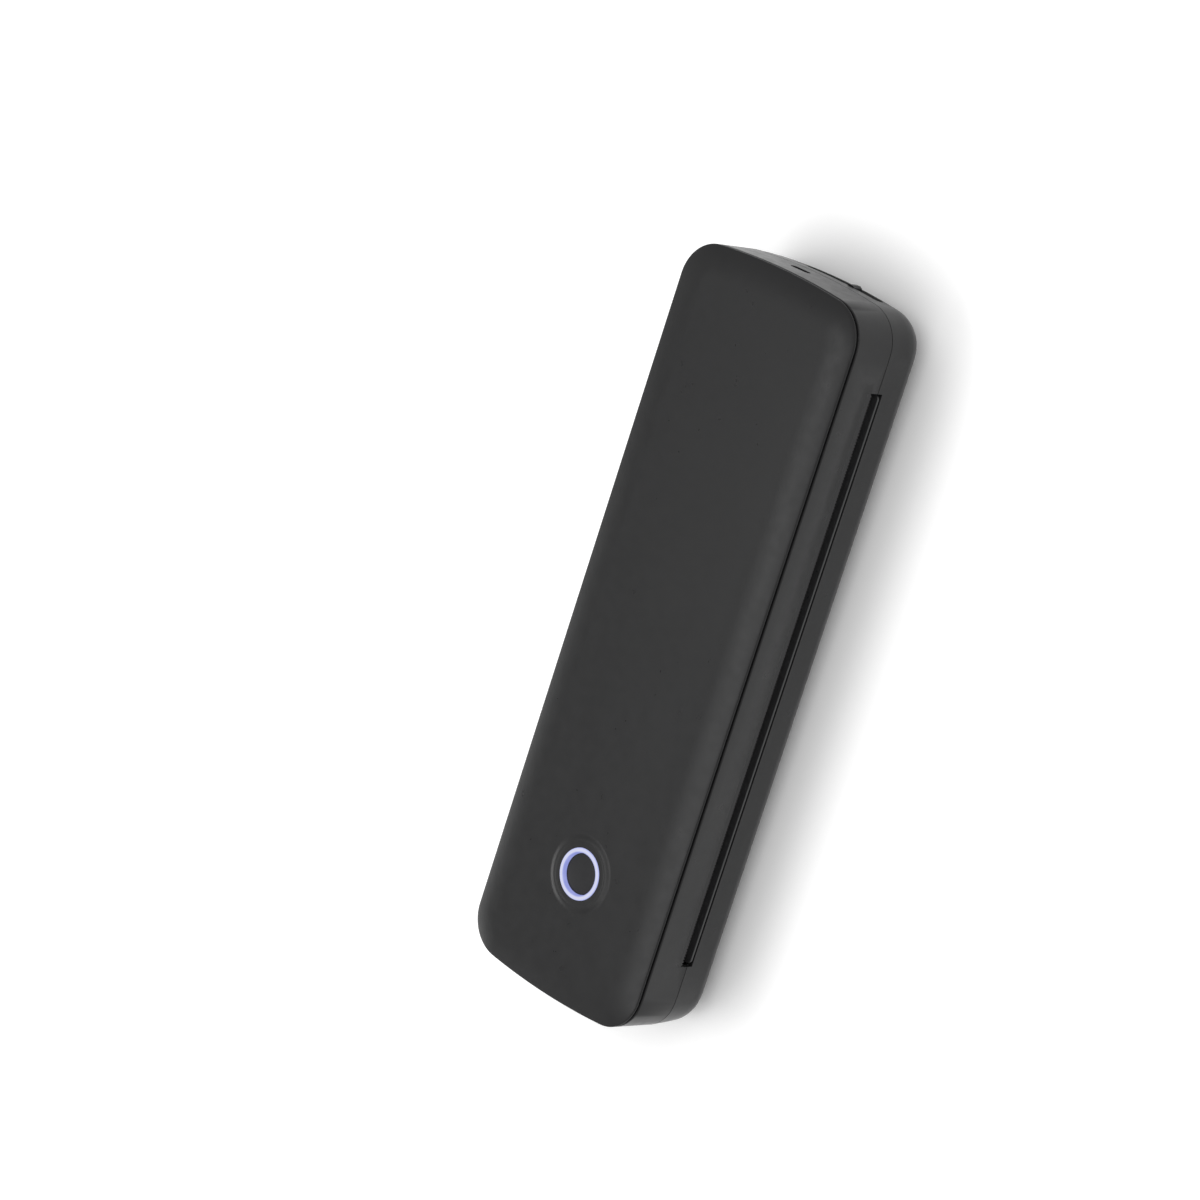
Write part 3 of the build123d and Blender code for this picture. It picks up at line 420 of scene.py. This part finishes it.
# The material of each slot in the record
SHADES = {
    "case_plastic": moulded("case_plastic", (0.016, 0.016, 0.0165), 0.31),
    "panel_plastic": moulded("panel_plastic", (0.0145, 0.0145, 0.015), 0.31, gloss=0.22),
    "button_plastic": moulded("button_plastic", (0.012, 0.012, 0.013), 0.33),
    "lip_plastic": moulded("lip_plastic", (0.03, 0.03, 0.031), 0.3, grain=3200.0, depth=0.00001, gloss=0.5),
    "inner_plastic": moulded("inner_plastic", (0.028, 0.028, 0.03), 0.5, grain=1800.0),
    "slider_plastic": moulded("slider_plastic", (0.014, 0.014, 0.015), 0.4),
    "ring_light": lit_ring(),
    "foot_rubber": rubber("foot_rubber", (0.02, 0.02, 0.02), 0.75, (1, 1, 1)),
    "platen_rubber": rubber("platen_rubber", (0.03, 0.03, 0.031), 0.6, ACROSS_X),
    "frame_steel": zinc_plate(),
    "pin_steel": ground_metal("ground_steel", (0.62, 0.62, 0.63), 0.24, ACROSS_X),
    "screw_steel": ground_metal("dark_zinc", (0.3, 0.3, 0.31), 0.38, (1, 1, 1)),
    "bush_plastic": moulded("acetal", (0.66, 0.65, 0.6), 0.4, grain=2200.0),
    "gear_plastic": moulded("nylon", (0.72, 0.7, 0.63), 0.45, grain=2000.0),
    "pinion_brass": ground_metal("hobbed_brass", (0.72, 0.5, 0.2), 0.3, ALONG_X),
    "motor_steel": ground_metal("plated_can", (0.5, 0.5, 0.5), 0.3, ACROSS_X),
    "sink_aluminium": ground_metal("extruded_aluminium", (0.68, 0.69, 0.7), 0.36, ALONG_X),
    "head_glaze": glazed_ceramic(),
    "board_green": circuit_board(),
    "chip_black": moulded("chip_resin", (0.018, 0.018, 0.019), 0.55, grain=3800.0),
    "socket_steel": ground_metal("drawn_steel", (0.16, 0.16, 0.165), 0.34, ALONG_X),
    "cell_wrap": shrink_sleeve(),
}


def dress_nodes():
    """Gives every CAD node the material of its slot in the record."""
    for part in frame["record"]["subparts"]:
        materials = frame["nodes"][part["node"]].data.materials
        materials.clear()
        materials.append(SHADES[part["material_slot"]].material)


def end_arcs(corner_radius, end_radius):
    """One end of the outline: the bow's centre along X, the corner's centre and the bow's half angle."""
    bow_x = HALF_LENGTH - end_radius
    corner_y = HALF_DEPTH - corner_radius
    corner_x = bow_x + math.sqrt((end_radius - corner_radius) ** 2 - corner_y ** 2)
    return bow_x, corner_x, corner_y, math.atan2(corner_y, corner_x - bow_x)


def rim_stations():
    """Arc centre, radius and outward direction of each point once round the outline."""
    bow_x, corner_x, corner_y, bow = end_arcs(CORNER_RADIUS, END_RADIUS)
    stations = []
    for side, turn in ((1, 0.0), (-1, math.pi)):
        arcs = [
            (side * corner_x, -side * corner_y, CORNER_RADIUS, turn - QUARTER, turn - bow, CORNER_STEPS),
            (side * bow_x, 0.0, END_RADIUS, turn - bow, turn + bow, END_STEPS),
            (side * corner_x, side * corner_y, CORNER_RADIUS, turn + bow, turn + QUARTER, CORNER_STEPS),
        ]
        for x, y, radius, start, stop, steps in arcs:
            count = steps + 1 if stop == turn + QUARTER else steps
            for i in range(count):
                angle = start + (stop - start) * i / steps
                stations.append((x, y, radius, math.cos(angle), math.sin(angle)))
    return stations


def arc(centre, radius, start, stop, steps):
    """Points along an arc, its angles in radians."""
    angles = [start + (stop - start) * i / steps for i in range(steps + 1)]
    return [(centre[0] + radius * math.cos(a), centre[1] + radius * math.sin(a)) for a in angles]


def panel_section():
    """The panel's rim as (inset, level), from the skirt that stands in the shadow gap up to the flat top."""
    crown_radius = (CROWN_RUN ** 2 + CROWN_RISE ** 2) / (2 * CROWN_RISE)
    crown_level = TOP_LEVEL - crown_radius
    rim_level = crown_level + math.sqrt((crown_radius - RIM_ROUND) ** 2 - (CROWN_RUN - RIM_ROUND) ** 2)
    tilt = math.atan2(rim_level - crown_level, RIM_ROUND - CROWN_RUN)
    section = [(SKIRT_INNER, PANEL_LOW), (SKIRT_INNER, BAND_TOP),
               (SKIRT_OUTER, BAND_TOP), (SKIRT_OUTER, PANEL_LOW)]
    section += [(UNDER_RUN + UNDER_RUN * x, PANEL_LOW + UNDER_RISE + UNDER_RISE * z)
                for x, z in arc((0.0, 0.0), 1.0, -QUARTER, -math.pi, RIM_STEPS)]
    section += arc((RIM_ROUND, rim_level), RIM_ROUND, math.pi, tilt, RIM_STEPS)
    section += arc((CROWN_RUN, crown_level), crown_radius, tilt, QUARTER, CROWN_STEPS)[1:]
    return section


def collar_section():
    """The panel round the ring as (radius, level): its boss below, the bore, and the dished ridge on top."""
    bore = RING_OUTER + RING_GAP
    outer = bore + BORE_WALL
    section = [(outer, PANEL_LOW), (outer, BAND_TOP), (bore, BAND_TOP), (bore, TOP_LEVEL + COLLAR_LIP)]
    for i in range(1, COLLAR_STEPS + 1):
        share = i / COLLAR_STEPS
        rise = COLLAR_LIP + (COLLAR_HEIGHT - COLLAR_LIP) * share ** DISH_POWER
        section.append((bore + (COLLAR_CREST - bore) * share, TOP_LEVEL + rise))
    for i in range(1, COLLAR_STEPS + 1):
        share = i / COLLAR_STEPS
        fall = COLLAR_HEIGHT * 0.5 * (1 + math.cos(math.pi * share))
        section.append((COLLAR_CREST + (COLLAR_FOOT - COLLAR_CREST) * share, TOP_LEVEL + fall))
    return section


def skin(mesh, loops):
    """Faces between each closed loop of points and the next."""
    for near, far in zip(loops, loops[1:]):
        for i in range(len(near)):
            following = (i + 1) % len(near)
            mesh.faces.new((near[i], near[following], far[following], far[i]))


def turned(mesh, x, y, section):
    """A form turned about an upright axis from (radius, level) points; returns its first and last loops."""
    loops = []
    for radius, level in section:
        angles = [2 * math.pi * i / TURN_STEPS for i in range(TURN_STEPS)]
        points = [(x + radius * math.cos(a), y + radius * math.sin(a), level) for a in angles]
        loops.append([mesh.verts.new(Vector(point) * MM) for point in points])
    skin(mesh, loops)
    return loops[0], loops[-1]


def fill(mesh, loops):
    """A flat face inside the first loop of points and outside the others."""
    edges = []
    for loop in loops:
        edges += [mesh.edges.get((loop[i - 1], loop[i])) for i in range(len(loop))]
    bmesh.ops.triangle_fill(mesh, use_beauty=True, edges=edges)


def finished(mesh, name, slot, body, replaced, sharp=SHARP_ANGLE):
    """Makes the piece of a mesh, smooth but for its sharp edges, with its finish and body, and hides the CAD
    node that it replaces.
    """
    bmesh.ops.recalc_face_normals(mesh, faces=mesh.faces)
    data = bpy.data.meshes.new(name)
    mesh.to_mesh(data)
    mesh.free()
    data.shade_smooth()
    data.set_sharp_from_angle(angle=sharp)
    data.materials.append(SHADES[slot].material)
    piece = bpy.data.objects.new(name, data)
    bpy.context.scene.collection.objects.link(piece)
    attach(piece, body)
    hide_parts(replaced)
    return piece


def make_panel():
    """The crowned top panel with its rolled-off rim, skirt, screw bosses and the ridge round the ring."""
    mesh = bmesh.new()
    stations = rim_stations()
    loops = []
    for inset, level in panel_section():
        points = [(x + (r - inset) * nx, y + (r - inset) * ny, level) for x, y, r, nx, ny in stations]
        loops.append([mesh.verts.new(Vector(point) * MM) for point in points])
    skin(mesh, loops)
    collar_low, collar_high = turned(mesh, BUTTON_X, 0.0, collar_section())
    boss = [(BOSS_RADIUS, PANEL_LOW), (BOSS_RADIUS, BAND_TOP),
            (SCREW_HOLE, BAND_TOP), (SCREW_HOLE, SCREW_HOLE_TOP)]
    below = [loops[0], collar_low]
    for x, y in BOSS_PLACES:
        foot, hole_end = turned(mesh, x, y, boss)
        below.append(foot)
        mesh.faces.new(hole_end)
    fill(mesh, [loops[-1], collar_high])
    fill(mesh, below)
    finished(mesh, "crowned_panel", "panel_plastic", "cover", "top_panel")


def make_ring():
    """The light ring, with rounded rims, seated on the deck."""
    mesh = bmesh.new()
    high = RING_TOP - RING_ROUND
    section = [(RING_INNER, BAND_TOP)]
    section += arc((RING_INNER + RING_ROUND, high), RING_ROUND, math.pi, QUARTER, RING_STEPS)
    section += arc((RING_OUTER - RING_ROUND, high), RING_ROUND, QUARTER, 0.0, RING_STEPS)
    section.append((RING_OUTER, BAND_TOP))
    inner, outer = turned(mesh, BUTTON_X, 0.0, section)
    skin(mesh, [outer, inner])
    finished(mesh, "glow_ring", "ring_light", "cover", "light_ring")


def make_button():
    """The button: stem, flange and a dished cap well below the ring's rim."""
    mesh = bmesh.new()
    flat = CAP_RADIUS - CAP_ROUND
    section = [(STEM_RADIUS, STEM_LOW), (STEM_RADIUS, FLANGE_LOW), (FLANGE_RADIUS, FLANGE_LOW),
               (FLANGE_RADIUS, FLANGE_TOP), (CAP_RADIUS, FLANGE_TOP)]
    section += arc((flat, CAP_TOP - CAP_ROUND), CAP_ROUND, 0.0, QUARTER, CAP_STEPS)
    for i in range(1, CAP_DISH_STEPS):
        share = 1 - i / CAP_DISH_STEPS
        section.append((flat * share, CAP_TOP - CAP_DISH * (1 - share ** 2)))
    stem_end, dish = turned(mesh, BUTTON_X, 0.0, section)
    mesh.faces.new(stem_end)
    mesh.faces.new(dish)
    finished(mesh, "button_cap", "button_plastic", "button", "power_button")


def end_x(y, corner_radius, end_radius):
    """How far out the outline's end stands at y."""
    bow_x, corner_x, corner_y, bow = end_arcs(corner_radius, end_radius)
    side = min(abs(y), HALF_DEPTH)
    if side < end_radius * math.sin(bow):
        return bow_x + math.sqrt(end_radius ** 2 - side ** 2)
    return corner_x + math.sqrt(max(0.0, corner_radius ** 2 - (side - corner_y) ** 2))


def base_inset(level, taper, base_round):
    """How far the base's outside stands in from the outline at a level, down to the floor's edge."""
    centre_level = BASE_BOTTOM + base_round
    touch = centre_level - base_round * math.sin(taper)
    wall = (PARTING_LEVEL - level) * math.tan(taper)
    if level >= touch:
        return max(0.0, wall)
    centre = (PARTING_LEVEL - touch) * math.tan(taper) + base_round * math.cos(taper)
    drop = min(base_round, centre_level - level)
    return centre - math.sqrt(base_round ** 2 - drop ** 2)


def smooth_step(value, low, high):
    """0 up to low, 1 from high on, and an S curve between."""
    share = min(1.0, max(0.0, (value - low) / (high - low)))
    return share * share * (3 - 2 * share)


def outline_depth(x, y):
    """How far a point with x and y above 0 lies inside the photograph's outline, and the way out."""
    bow_x, corner_x, corner_y, bow = end_arcs(CORNER_RADIUS, END_RADIUS)
    ways = []
    if x <= corner_x:
        ways.append((HALF_DEPTH - y, 0.0, 1.0))
    from_bow = math.hypot(x - bow_x, y)
    if math.atan2(y, x - bow_x) <= bow:
        ways.append((END_RADIUS - from_bow, (x - bow_x) / from_bow, y / from_bow))
    from_corner = math.hypot(x - corner_x, y - corner_y)
    if not ways and from_corner > 0:
        out_x = (x - corner_x) / from_corner
        out_y = (y - corner_y) / from_corner
        ways.append((CORNER_RADIUS - from_corner, out_x, out_y))
    return min(ways) if ways else (CORNER_RADIUS, 0.0, 0.0)


def fitted(point):
    """Where a point of the CAD case comes to lie in the photograph's outline, taper and bottom round."""
    x, y, level = (value / MM for value in point)
    side_x = math.copysign(1.0, x)
    side_y = math.copysign(1.0, y)
    x, y = abs(x), abs(y)
    shift = end_x(y, CORNER_RADIUS, END_RADIUS) - end_x(y, CAD_CORNER_RADIUS, CAD_END_RADIUS)
    x += shift * smooth_step(x, WARP_START, WARP_END)
    if level < PARTING_LEVEL:
        change = (base_inset(level, CAD_BASE_TAPER, CAD_BASE_ROUND)
                  - base_inset(level, BASE_TAPER, BASE_ROUND))
        depth, out_x, out_y = outline_depth(x, y)
        change = min(max(depth, 0.0), change * (1 - smooth_step(depth, FITTED_DEPTH, UNCHANGED_DEPTH)))
        x += change * out_x
        y += change * out_y
    return Vector((side_x * min(x, HALF_LENGTH), side_y * min(y, HALF_DEPTH), level)) * MM


def refit(node, name, slot, body):
    """A case half with the CAD solid's every detail, its outside fitted to the photograph."""
    mesh = bmesh.new()
    mesh.from_mesh(frame["nodes"][node].data)
    bmesh.ops.remove_doubles(mesh, verts=mesh.verts, dist=MERGE_DISTANCE)
    for corner in mesh.verts:
        corner.co = fitted(corner.co)
    piece = finished(mesh, name, slot, body, node, sharp=CASE_SHARP_ANGLE)
    normals = piece.data.attributes.get("custom_normal")
    if normals:
        piece.data.attributes.remove(normals)


def make_floor():
    """A plain pale floor that shows as white and keeps the printer's shadow."""
    bpy.ops.mesh.primitive_plane_add(size=FLOOR_SIZE)
    floor = bpy.context.object
    floor.name = "floor"
    shade = Shade("pale_floor", FLOOR_COLOUR, FLOOR_ROUGHNESS)
    tree = shade.tree
    shade.shader.inputs["Specular IOR Level"].default_value = 0.0
    paths = shade.node("ShaderNodeLightPath")
    seen = shade.maths("MAXIMUM", paths.outputs["Is Camera Ray"], paths.outputs["Is Glossy Ray"])
    seen = shade.maths("MAXIMUM", seen, paths.outputs["Is Transmission Ray"])
    glow = shade.node("ShaderNodeEmission")
    shade.feed(glow.inputs["Color"], WHITE)
    # Painted contact shadow: the floor's own glow fades by ambient occlusion near the printer, on top of the
    # lamps' real shadow
    contact = shade.node("ShaderNodeAmbientOcclusion", samples=CONTACT_SAMPLES)
    contact.inputs["Distance"].default_value = CONTACT_REACH
    open_floor = shade.maths("POWER", contact.outputs["AO"], CONTACT_POWER)
    strength = shade.maths("MULTIPLY", open_floor, FLOOR_GLOW)
    shade.feed(glow.inputs["Strength"], shade.maths("MULTIPLY", seen, strength))
    both = shade.node("ShaderNodeAddShader")
    tree.links.new(shade.shader.outputs[0], both.inputs[0])
    tree.links.new(glow.outputs[0], both.inputs[1])
    tree.links.new(both.outputs[0], tree.nodes["Material Output"].inputs["Surface"])
    floor.data.materials.append(shade.material)


def make_world():
    """An even sky that shows as white behind the floor."""
    world = bpy.data.worlds.new("studio")
    world.use_nodes = True
    tree = world.node_tree
    background = tree.nodes["Background"]
    background.inputs["Color"].default_value = (*WHITE, 1.0)
    paths = tree.nodes.new("ShaderNodeLightPath")
    seen = tree.nodes.new("ShaderNodeMath")
    seen.operation = "MAXIMUM"
    tree.links.new(paths.outputs["Is Camera Ray"], seen.inputs[0])
    tree.links.new(paths.outputs["Is Transmission Ray"], seen.inputs[1])
    strength = tree.nodes.new("ShaderNodeMapRange")
    tree.links.new(seen.outputs[0], strength.inputs["Value"])
    strength.inputs["To Min"].default_value = SKY_STRENGTH
    strength.inputs["To Max"].default_value = 1.0
    tree.links.new(strength.outputs["Result"], background.inputs["Strength"])
    bpy.context.scene.world = world


def make_lamps():
    """Large soft lamps, each aimed at the printer."""
    for name, place, size, power in LAMPS:
        light = bpy.data.lights.new(name, "AREA")
        light.shape = "RECTANGLE"
        light.size, light.size_y = size
        light.energy = power
        lamp = bpy.data.objects.new(name, light)
        lamp.location = place
        lamp.rotation_mode = "QUATERNION"
        lamp.rotation_quaternion = Vector(place).to_track_quat("Z", "Y")
        bpy.context.scene.collection.objects.link(lamp)


def make_camera():
    """The photograph's viewing angle, with the case on its side in the picture."""
    data = bpy.data.cameras.new("camera")
    data.lens = CAMERA_LENS
    data.sensor_width = SENSOR_WIDTH
    camera = bpy.data.objects.new("camera", data)
    camera.location = CAMERA_PLACE
    camera.rotation_mode = "QUATERNION"
    aim = (CAMERA_PLACE - CAMERA_AIM).to_track_quat("Z", "Y")
    camera.rotation_quaternion = aim @ Quaternion((0, 0, 1), CAMERA_ROLL)
    bpy.context.scene.collection.objects.link(camera)
    bpy.context.scene.camera = camera


make_camera()
make_world()
make_lamps()
make_floor()
dress_nodes()
make_panel()
make_ring()
make_button()
refit("cover_housing", "cover_band", "case_plastic", "cover")
refit("base_shell", "base_tub", "case_plastic", "base")
bpy.context.scene.view_settings.view_transform = "Standard"
